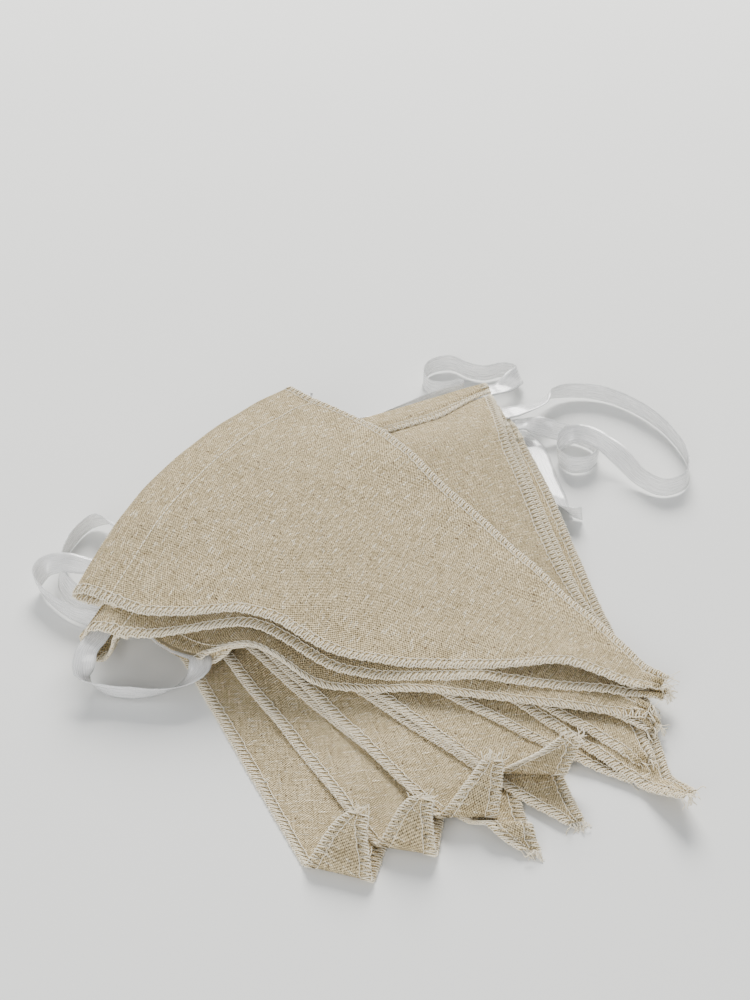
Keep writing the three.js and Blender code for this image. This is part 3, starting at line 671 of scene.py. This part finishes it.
# A tip's tilted fold line is reached over this length of cloth.
TILT_LENGTH = 80

# The far end of one flap is turned in: the share that it loses at the edge.
FLAP_IN = {"j": 0.56}


def ruffle(p, v, end, s):
    """The small waves across the end of an upper tip."""
    rise, phase = RUFFLES.get(p["name"], (0, 0))
    if not rise:
        return np.zeros_like(s)
    near = smooth((v - (end - RUFFLE_LENGTH)) / RUFFLE_LENGTH)
    return near * (rise + RUFFLE_WAVE * np.sin(2.2 * math.pi * s + phase))


def cloth_points(p):
    """The cloth as rows by columns of points, with its flat pattern coordinates."""
    end, skew = fold_at(p)
    along, across, _ = frame_of(p)
    out = math.cos(skew) * along + math.sin(skew) * across
    s = np.linspace(-1, 1, COLUMNS)
    points = []
    flat = []
    hem_count = len(hem_rows(p))
    for k, (v, n, e) in enumerate(cloth_rows(p)):
        tilt = float(smooth((v - (end - TILT_LENGTH)) / TILT_LENGTH)) * math.tan(skew)
        if e > 0:
            tilt = math.tan(skew)
        line = np.full_like(s, v)
        if p["name"] in FLAP_IN and k < hem_count:
            line = v * (1 - FLAP_IN[p["name"]] * smooth((s - 0.5) / 0.5))
        xy, pv, pu = row_points(p, line, s, tilt)
        if e > 0:
            x, z, lean = turned(TIPS[p["name"]]["bends"], e)
            base = sample(p["fine"], xy[:, 0] - out[0] * e, xy[:, 1] - out[1] * e)
            xy = xy + out * (x - n * math.sin(lean) - e)
            height = base + z + n * math.cos(lean)
            pull = PULLS.get(p["name"], (0, 0, 0))
            part = smooth(e / (TIPS[p["name"]]["fold"] * math.cos(skew)))
            xy = xy + part * np.array(pull[:2])
            height = height + part * pull[2] + 1.6 * math.sin(math.pi * part) * (1 - s ** 2)
        else:
            height = sample(p["fine"], xy[:, 0], xy[:, 1]) + n
            if k < hem_count:
                height = height - gape(p, v, s)
            elif v < STITCH:
                height = height + 0.2 * gape(p, v, s)
            else:
                height = height + ruffle(p, v, end, s)
        points.append(np.column_stack([xy, height]))
        side = -1 if k < hem_count else 1
        flat.append(np.column_stack([pu, side * pv]))
    return np.array(points), np.array(flat)


def to_metres(points):
    return (np.asarray(points, float) - (ORIGIN_X, ORIGIN_Y, 0)) / 1000


def finish_piece(obj):
    bpy.context.scene.collection.objects.link(obj)
    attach(obj, "root")


def make_mesh(name, points, faces, material, uvs=None):
    mesh = bpy.data.meshes.new(name)
    mesh.from_pydata([tuple(q) for q in to_metres(points)], [], [tuple(int(i) for i in f) for f in faces])
    mesh.materials.append(material)
    if uvs is not None:
        layer = mesh.uv_layers.new(name="pattern")
        loops = np.empty(len(mesh.loops), int)
        mesh.loops.foreach_get("vertex_index", loops)
        layer.data.foreach_set("uv", (np.asarray(uvs)[loops] / 1000).ravel())
    mesh.polygons.foreach_set("use_smooth", np.ones(len(mesh.polygons), bool))
    mesh.update()
    return bpy.data.objects.new(name, mesh)


def grid_faces(rows, columns):
    a = (np.arange(rows - 1)[:, None] * columns + np.arange(columns - 1)).ravel()
    return np.column_stack([a, a + columns, a + columns + 1, a + 1])


def thicken(obj, thickness):
    bpy.context.view_layer.objects.active = obj
    solid = obj.modifiers.new("thickness", "SOLIDIFY")
    solid.thickness = thickness / 1000
    solid.offset = 0
    solid.use_even_offset = False
    with bpy.context.temp_override(object=obj, active_object=obj):
        bpy.ops.object.modifier_apply(modifier=solid.name)


def tube(path, radius, sides):
    """A thin tube with few sides along a list of points."""
    path = np.asarray(path, float)
    tangent = np.gradient(path, axis=0)
    tangent /= np.maximum(np.linalg.norm(tangent, axis=1), 1e-9)[:, None]
    normal = np.cross(tangent[0], (0.3, 0.2, 1.0))
    normal /= np.linalg.norm(normal)
    verts = []
    angles = np.arange(sides) * 2 * math.pi / sides
    for point, t in zip(path, tangent):
        normal = normal - t * normal.dot(t)
        normal /= max(np.linalg.norm(normal), 1e-9)
        side = np.cross(t, normal)
        verts.append(point + radius * (np.cos(angles)[:, None] * normal + np.sin(angles)[:, None] * side))
    verts = np.concatenate(verts)
    faces = []
    for k in range(len(path) - 1):
        for n in range(sides):
            a, b = k * sides + n, k * sides + (n + 1) % sides
            faces.append((a, b, b + sides, a + sides))
    last = (len(path) - 1) * sides
    faces.append(tuple(range(sides))[::-1])
    faces.append(tuple(last + n for n in range(sides)))
    return verts, faces


class Threads:
    """Collects thread tubes into one mesh."""

    def __init__(self):
        self.verts = []
        self.faces = []
        self.count = 0

    def add(self, path, radius, sides=4):
        verts, faces = tube(path, radius, sides)
        self.verts.append(verts)
        self.faces += [tuple(i + self.count for i in f) for f in faces]
        self.count += len(verts)

    def make(self, name, material):
        return make_mesh(name, np.concatenate(self.verts), self.faces, material)


# Overlock stitches: their spacing, their depth from the edge, and the radii of their threads.
PITCH = 2.6
BITE = 4.8
THREAD = 0.25
WRAP = 0.3

# Straight stitches beside the channel: where, spacing, radius, and height over the cloth.
ROW_PLACE = 0.6
ROW_PITCH = 3.1
ROW_THREAD = 0.27
ROW_LIFT = 0.2

# Loose ends at a tip: how many threads, their length, and the pieces that each bends in.
FRAY_COUNT = 18
FRAY_LENGTH = 7.5
FRAY_STEPS = 7


def edge_line(points, side, reach):
    """Points along a long edge and the points this far inside it, row by row."""
    rows = points if side < 0 else points[:, ::-1]
    step = np.linalg.norm(np.diff(rows, axis=1), axis=2)
    run = np.concatenate([np.zeros((len(rows), 1)), np.cumsum(step, axis=1)], axis=1)
    reach = np.minimum(reach, run[:, -1] * 0.42)
    inner = np.array([[np.interp(d, r, q[:, c]) for c in range(3)] for d, r, q in zip(reach, run, rows)])
    return rows[:, 0], inner


def resample(line, others, pitch):
    """A line and the lines beside it, at even steps along the first."""
    run = np.concatenate([[0], np.cumsum(np.linalg.norm(np.diff(line, axis=0), axis=1))])
    count = max(2, round(run[-1] / pitch))
    at = np.linspace(0, run[-1], count)
    return [np.column_stack([np.interp(at, run, q[:, c]) for c in range(3)]) for q in (line, *others)]


def serge(threads, edge, inner, draw):
    """Overlock stitches: thread loops over the edge, and a needle line inside it."""
    edge, inner = resample(edge, [inner], PITCH / 2)
    inward = inner - edge
    width = np.linalg.norm(inward, axis=1)[:, None]
    inward = inward / np.maximum(width, 1e-6)
    along = np.gradient(edge, axis=0)
    normal = np.cross(inward, along)
    normal /= np.maximum(np.linalg.norm(normal, axis=1), 1e-9)[:, None]
    if np.median(normal[:, 2]) < 0:
        normal = -normal
    high = CLOTH_THICK / 2 + WRAP * 0.6
    out = 0.2 + 0.5 * draw.random((len(edge), 1))
    inner = inner + inward * draw.normal(0, 0.25, (len(edge), 1))
    wrap = []
    for k in range(len(edge)):
        e, i, n, w, o = edge[k], inner[k], normal[k], inward[k], out[k]
        if k % 2 == 0:
            wrap += [i + n * high, i * 0.4 + e * 0.6 + n * (high + 0.1), e + w * 0.5 + n * (high + 0.1)]
            wrap += [e - w * o, e + w * 0.5 - n * (high + 0.1), i - n * high]
        else:
            wrap += [e + w * 0.7 - n * (high + 0.1), e - w * (o + 0.15), e + w * 0.7 + n * (high + 0.12)]
    threads.add(wrap, WRAP)
    looper = []
    for k in range(len(edge)):
        side = 0.25 if k % 2 else -0.15
        looper.append(edge[k] - inward[k] * side + normal[k] * (high if k % 4 < 2 else -high))
    threads.add(looper, THREAD)
    for sign in (1, -1):
        needle = []
        for k in range(0, len(edge) - 1, 2):
            lift = normal[k] * sign
            needle += [
                inner[k] + lift * (high - 0.3),
                inner[k] * 0.8 + inner[k + 1] * 0.2 + lift * (high + 0.18),
                inner[k] * 0.1 + inner[k + 1] * 0.9 + lift * (high + 0.18),
            ]
        threads.add(needle, THREAD * 0.8)


def stitch_row(threads, line, lift):
    """A row of straight stitches."""
    line, = resample(line, [], ROW_PITCH)
    up = np.array([0, 0, lift])
    sunk = up * -0.4
    for a, b in zip(line[:-1], line[1:]):
        path = [a + sunk, a * 0.85 + b * 0.15 + up, a * 0.25 + b * 0.75 + up, a * 0.1 + b * 0.9 + sunk]
        threads.add(path, ROW_THREAD)


def fray(threads, points, draw):
    """Loose thread ends at the tip."""
    tip = points[-1]
    before = points[-4]
    for _ in range(FRAY_COUNT):
        c = draw.integers(0, len(tip))
        go = tip[c] - before[c]
        go = go / max(np.linalg.norm(go), 1e-6) + draw.normal(0, 0.45, 3)
        path = [tip[c]]
        for _ in range(FRAY_STEPS):
            go = go + draw.normal(0, 0.28, 3)
            go[2] -= 0.12
            go /= np.linalg.norm(go)
            step = path[-1] + go * draw.uniform(0.6, 1.0) * FRAY_LENGTH / FRAY_STEPS
            step[2] = max(step[2], 0.35)
            path.append(step)
        threads.add(path, draw.uniform(0.14, 0.28), 3)


def nearest_row(row_v, v):
    return int(np.argmin(np.abs(row_v - v)))


def make_pennant(p, linen, cream, n):
    """The cloth of one pennant, and all its threads as one piece."""
    draw = np.random.default_rng(THREAD_SEED + n)
    points, flat = cloth_points(p)
    rows, columns = points.shape[:2]
    faces = grid_faces(rows, columns)
    cloth = make_mesh("cloth_" + p["name"], points.reshape(-1, 3), faces, linen, flat.reshape(-1, 2))
    finish_piece(cloth)
    thicken(cloth, CLOTH_THICK)
    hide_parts("pennant_" + p["name"])
    threads = Threads()
    for side in (-1, 1):
        edge, inner = edge_line(points, side, BITE)
        serge(threads, edge, inner, draw)
    row_v = np.array([r[0] for r in cloth_rows(p)])
    hem_count = len(hem_rows(p))
    serge(threads, points[0], points[nearest_row(row_v[:hem_count], row_v[0] - BITE)], draw)
    lift = (CLOTH_THICK / 2 + ROW_LIFT) * (-1 if p["hem"] == "over" else 1)
    stitch_row(threads, points[hem_count + nearest_row(row_v[hem_count:], STITCH + ROW_PLACE)], lift)
    stitch_row(threads, points[nearest_row(row_v[:hem_count], STITCH + ROW_PLACE)], -lift)
    fray(threads, points, draw)
    thread = threads.make("thread_" + p["name"], cream)
    finish_piece(thread)
    return cloth, thread


def leg_route(p, reverse):
    """The ribbon inside a channel, from mouth to mouth."""
    first, count = (-0.93, 32) if p["name"] == "m" else (-1.02, 34)
    s = np.linspace(first, 1.02, count)
    xy = row_points(p, RIBBON_V, s)[0]
    z = sample(p["fine"], xy[:, 0], xy[:, 1]) + ribbon_rise(p)
    route = np.column_stack([xy, z, np.zeros(len(s))])
    return route[::-1] if reverse else route


EASE_PASSES = 30
TIGHTEST = 0.8 * RIBBON_WIDTH


def ease_turns(stations):
    """Widen the turns that are too tight for the ribbon's width."""
    roll = np.radians(stations[:, 3])[:, None]
    for _ in range(EASE_PASSES):
        centre = stations[:, :3]
        tangent = np.gradient(centre, axis=0)
        step = np.maximum(np.linalg.norm(tangent, axis=1), 1e-9)[:, None]
        tangent = tangent / step
        level = np.cross((0, 0, 1.0), tangent)
        level /= np.maximum(np.linalg.norm(level, axis=1), 1e-6)[:, None]
        w = level * np.cos(roll) + np.cross(tangent, level) * np.sin(roll)
        turn = np.abs((np.gradient(tangent, axis=0) * w).sum(axis=1)) / step[:, 0]
        tight = turn > 1 / TIGHTEST
        for _ in range(2):
            tight[1:-1] |= tight[2:] | tight[:-2]
        tight[0] = tight[-1] = False
        if not tight.any():
            break
        eased = centre.copy()
        eased[1:-1] = (centre[:-2] + 2 * centre[1:-1] + centre[2:]) / 4
        stations[:, :3] = np.where(tight[:, None], eased, centre)
    return stations


def ribbon_stations(laid, routes):
    """The whole ribbon as one list of stations: legs in channels and the loops between.

    The last loop is left as tight as it is, so that it stays under the top pennant's corner.
    """
    parts = []
    for n, loop in enumerate(LOOPS):
        route = np.array(routes[n], float)
        for k, end in ((0, loop["start"]), (-1, loop["end"])):
            if end:
                for m in ((0, 1) if k == 0 else (-1, -2)):
                    p = laid[end[0]]
                    route[m, 2] = sample(p["fine"], route[m, 0], route[m, 1]) + ribbon_rise(p)
        parts.append(curve_through(route, RIBBON_STEP))
        name, reverse = LEGS[n]
        parts.append(leg_route(laid[name], reverse))
    return np.concatenate([ease_turns(np.concatenate(parts[:-2])), *parts[-2:]])


def make_ribbon(laid, routes, satin):
    """The ribbon and its length in millimetres."""
    stations = ribbon_stations(laid, routes)
    centre = stations[:, :3]
    tangent = np.gradient(centre, axis=0)
    tangent /= np.maximum(np.linalg.norm(tangent, axis=1), 1e-9)[:, None]
    side = None
    rows = []
    run = np.concatenate([[0], np.cumsum(np.linalg.norm(np.diff(centre, axis=0), axis=1))])
    across = np.linspace(-0.5, 0.5, RIBBON_COLUMNS)
    uvs = []
    for k, t in enumerate(tangent):
        level = np.cross((0, 0, 1.0), t)
        if np.linalg.norm(level) < 0.2 and side is not None:
            level = side.copy()
        level /= np.linalg.norm(level)
        if side is not None and level.dot(side) < 0:
            level = -level
        side = level
        normal = np.cross(t, level)
        roll = math.radians(stations[k, 3])
        w = level * math.cos(roll) + normal * math.sin(roll)
        n = np.cross(t, w)
        cup = 0.35 * (across * 2) ** 2 * math.sin(roll)
        rows.append(centre[k] + across[:, None] * RIBBON_WIDTH * w + cup[:, None] * n)
        uvs.append(np.column_stack([across * RIBBON_WIDTH, np.full(RIBBON_COLUMNS, run[k])]))
    faces = grid_faces(len(rows), RIBBON_COLUMNS)
    ribbon = make_mesh("satin_ribbon", np.concatenate(rows), faces, satin, np.concatenate(uvs))
    finish_piece(ribbon)
    thicken(ribbon, RIBBON_SHOWN)
    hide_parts("ribbon")
    return ribbon, run[-1]


class Nodes:
    """Short way to add and join shader nodes."""

    def __init__(self, name):
        self.material = bpy.data.materials.new(name)
        self.material.use_nodes = True
        self.tree = self.material.node_tree
        self.shader = self.tree.nodes["Principled BSDF"]

    def add(self, kind, **settings):
        node = self.tree.nodes.new(kind)
        for key, value in settings.items():
            setattr(node, key, value)
        return node

    def link(self, start, end):
        self.tree.links.new(start, end)

    def math(self, operation, a, b=None):
        node = self.add("ShaderNodeMath", operation=operation)
        for k, value in enumerate((a, b)):
            if value is None:
                continue
            if isinstance(value, (int, float)):
                node.inputs[k].default_value = value
            else:
                self.link(value, node.inputs[k])
        return node.outputs[0]

    def mix(self, factor, a, b):
        node = self.add("ShaderNodeMix", data_type="RGBA")
        for socket, value in ((node.inputs[0], factor), (node.inputs[6], a), (node.inputs[7], b)):
            if isinstance(value, (int, float, tuple)):
                socket.default_value = value
            else:
                self.link(value, socket)
        return node.outputs[2]

    def noise(self, vector, scale, stretch=(1, 1, 1), detail=2.0):
        mapping = self.add("ShaderNodeMapping")
        mapping.inputs["Scale"].default_value = stretch
        self.link(vector, mapping.inputs["Vector"])
        node = self.add("ShaderNodeTexNoise")
        node.inputs["Scale"].default_value = scale
        node.inputs["Detail"].default_value = detail
        self.link(mapping.outputs[0], node.inputs["Vector"])
        return node.outputs["Fac"]

    def ramp(self, value, low, high):
        node = self.add("ShaderNodeMapRange")
        node.inputs["From Min"].default_value = low
        node.inputs["From Max"].default_value = high
        self.link(value, node.inputs["Value"])
        return node.outputs[0]

    def bump(self, height, strength, distance):
        node = self.add("ShaderNodeBump")
        node.inputs["Strength"].default_value = strength
        node.inputs["Distance"].default_value = distance
        self.link(height, node.inputs["Height"])
        self.link(node.outputs[0], self.shader.inputs["Normal"])

    def surface(self, settings):
        for name, value in settings.items():
            self.shader.inputs[name].default_value = value


# Yarn spacing and its wobble in metres, and the colours of the yarns.
WEAVE_PITCH = 0.00118
WEAVE_WOBBLE = 0.0012
YARN_DARK = (0.44, 0.345, 0.185, 1)
YARN_LIGHT = (0.66, 0.54, 0.325, 1)
YARN_CLOUD = (0.56, 0.445, 0.275, 1)
SLUB_PALE = (0.90, 0.81, 0.62, 1)
SPECK_DARK = (0.11, 0.07, 0.035, 1)
THREAD_DARK = (0.84, 0.74, 0.54, 1)
THREAD_LIGHT = (1.0, 0.93, 0.76, 1)


def linen_material():
    n = Nodes("linen")
    uv = n.add("ShaderNodeUVMap", uv_map="pattern").outputs[0]
    wobble = n.noise(uv, 160.0, (1, 1, 1), 1.0)
    axes = n.add("ShaderNodeSeparateXYZ")
    n.link(uv, axes.inputs[0])
    bend = n.math("MULTIPLY", wobble, WEAVE_WOBBLE)
    turns = 2 * math.pi / WEAVE_PITCH
    warp = n.math("SINE", n.math("MULTIPLY", n.math("ADD", axes.outputs[0], bend), turns))
    weft = n.math("SINE", n.math("MULTIPLY", n.math("ADD", axes.outputs[1], bend), turns))
    weave = n.math("MULTIPLY", warp, weft)
    slub_warp = n.noise(uv, 1.0, (1200, 110, 1), 0.0)
    slub_weft = n.noise(uv, 1.0, (110, 1200, 1), 0.0)
    slubs = n.math("ADD", slub_warp, slub_weft)
    speck = n.noise(uv, 1.0, (1250, 1100, 1), 0.0)
    dark_bits = n.noise(uv, 1.0, (620, 300, 1), 1.0)
    pale_bits = n.noise(uv, 1.0, (200, 900, 1), 1.0)
    cloudy = n.noise(uv, 22.0, (1, 1, 1), 3.0)
    base = n.mix(n.ramp(slubs, 0.7, 1.3), YARN_DARK, YARN_LIGHT)
    base = n.mix(n.math("MULTIPLY", n.ramp(cloudy, 0.3, 0.75), 0.15), base, YARN_CLOUD)
    pale = n.mix(n.math("MULTIPLY", n.ramp(pale_bits, 0.61, 0.69), 0.7), base, SLUB_PALE)
    dark = n.mix(n.math("MULTIPLY", n.ramp(dark_bits, 0.69, 0.75), 0.85), pale, SPECK_DARK)
    grain = n.math("MULTIPLY", n.math("SUBTRACT", speck, 0.5), 1.3)
    shade = n.math("ADD", n.math("ADD", n.math("MULTIPLY", weave, 0.7), 0.93), grain)
    tone = n.add("ShaderNodeMix", data_type="RGBA", blend_type="MULTIPLY")
    tone.inputs[0].default_value = 1.0
    n.link(dark, tone.inputs[6])
    grey = n.add("ShaderNodeCombineColor")
    for k in range(3):
        n.link(shade, grey.inputs[k])
    n.link(grey.outputs[0], tone.inputs[7])
    n.link(tone.outputs[2], n.shader.inputs["Base Color"])
    height = n.math("ADD", n.math("MULTIPLY", weave, 0.8), n.math("MULTIPLY", slubs, 1.2))
    n.bump(n.math("ADD", height, n.math("MULTIPLY", speck, 0.8)), 1.0, 0.0003)
    n.surface({
        "Roughness": 0.95,
        "Specular IOR Level": 0.1,
        "Sheen Weight": 0.05,
        "Sheen Roughness": 0.5,
    })
    return n.material


def thread_material():
    n = Nodes("cream_thread")
    place = n.add("ShaderNodeTexCoord").outputs["Object"]
    fuzz = n.noise(place, 900.0, (1, 1, 1), 2.0)
    colour = n.mix(n.ramp(fuzz, 0.3, 0.7), THREAD_DARK, THREAD_LIGHT)
    n.link(colour, n.shader.inputs["Base Color"])
    n.bump(fuzz, 0.5, 0.0002)
    n.surface({"Roughness": 0.85, "Specular IOR Level": 0.2, "Sheen Weight": 0.1})
    return n.material


def satin_material():
    n = Nodes("white_satin")
    uv = n.add("ShaderNodeUVMap", uv_map="pattern").outputs[0]
    threads = n.noise(uv, 1.0, (6000, 90, 1), 2.0)
    ribs = n.noise(uv, 1.0, (60, 2600, 1), 1.0)
    n.link(n.mix(threads, (0.90, 0.90, 0.89, 1), (0.97, 0.97, 0.965, 1)), n.shader.inputs["Base Color"])
    n.link(n.ramp(threads, -0.4, 2.9), n.shader.inputs["Roughness"])
    n.bump(n.math("ADD", threads, ribs), 0.35, 0.0001)
    n.surface({
        "Specular IOR Level": 0.8,
        "Anisotropic": 0.6,
        "Transmission Weight": 0.4,
        "IOR": 1.06,
        "Coat Weight": 0.8,
        "Coat Roughness": 0.14,
    })
    return n.material


def floor_material():
    n = Nodes("pale_floor")
    place = n.add("ShaderNodeTexCoord").outputs["Object"]
    weave = n.noise(place, 260.0, (1, 6, 1), 2.0)
    soft = n.noise(place, 3.0, (1, 1, 1), 2.0)
    base = n.mix(n.ramp(soft, 0.3, 0.7), (0.77, 0.775, 0.755, 1), (0.80, 0.805, 0.785, 1))
    colour = n.mix(n.math("MULTIPLY", weave, 0.25), base, (0.85, 0.855, 0.84, 1))
    n.link(colour, n.shader.inputs["Base Color"])
    n.surface({"Roughness": 0.95})
    return n.material


# Stage, lights and camera, in metres, but the camera's place in millimetres.
FLOOR_SIZE = 16
SKY_COLOUR = (0.93, 0.96, 1.0, 1)
SKY_STRENGTH = 0.48
LIGHTS = [
    {"name": "key", "place": (0.15, 2.6, 1.7), "size": 1.7, "power": 236, "colour": (1.0, 0.985, 0.955)},
    {"name": "fill", "place": (-0.6, -1.7, 0.8), "size": 1.2, "power": 30, "colour": (1, 1, 1)},
]
CAMERA_LENS = 72
CAMERA_SENSOR = 36
CAMERA_TILT = 37.0
CAMERA_BACK = 687.7
CAMERA_HIGH = 597.9


def make_stage():
    bpy.ops.mesh.primitive_plane_add(size=FLOOR_SIZE, location=(0, 0, 0))
    floor = bpy.context.object
    floor.name = "floor"
    floor.data.materials.append(floor_material())


def area_light(name, place, size, power, colour):
    """A round soft light that faces the middle of the stage."""
    data = bpy.data.lights.new(name, "AREA")
    data.shape = "DISK"
    data.size = size
    data.energy = power
    data.color = colour
    lamp = bpy.data.objects.new(name, data)
    bpy.context.scene.collection.objects.link(lamp)
    lamp.location = place
    aim = -np.array(place)
    pitch = math.atan2(math.hypot(aim[0], aim[1]), -aim[2])
    lamp.rotation_euler = (pitch, 0, math.atan2(aim[1], aim[0]) - math.pi / 2)


def make_light():
    world = bpy.data.worlds.new("studio")
    world.use_nodes = True
    world.node_tree.nodes["Background"].inputs[0].default_value = SKY_COLOUR
    world.node_tree.nodes["Background"].inputs[1].default_value = SKY_STRENGTH
    bpy.context.scene.world = world
    for light in LIGHTS:
        area_light(**light)


def make_camera():
    data = bpy.data.cameras.new("camera")
    data.lens = CAMERA_LENS
    data.sensor_width = CAMERA_SENSOR
    camera = bpy.data.objects.new("camera", data)
    bpy.context.scene.collection.objects.link(camera)
    camera.location = (-ORIGIN_X / 1000, (-CAMERA_BACK - ORIGIN_Y) / 1000, CAMERA_HIGH / 1000)
    camera.rotation_euler = (math.radians(90 - CAMERA_TILT), 0, 0)
    bpy.context.scene.camera = camera


def build():
    bpy.ops.object.select_all(action="DESELECT")
    make_camera()
    laid, routes = lay_pile()
    fine_heights(laid)
    linen = linen_material()
    cream = thread_material()
    for n, p in enumerate(laid.values()):
        cloth, thread = make_pennant(p, linen, cream, n)
    ribbon, length = make_ribbon(laid, routes, satin_material())
    make_stage()
    make_light()


build()
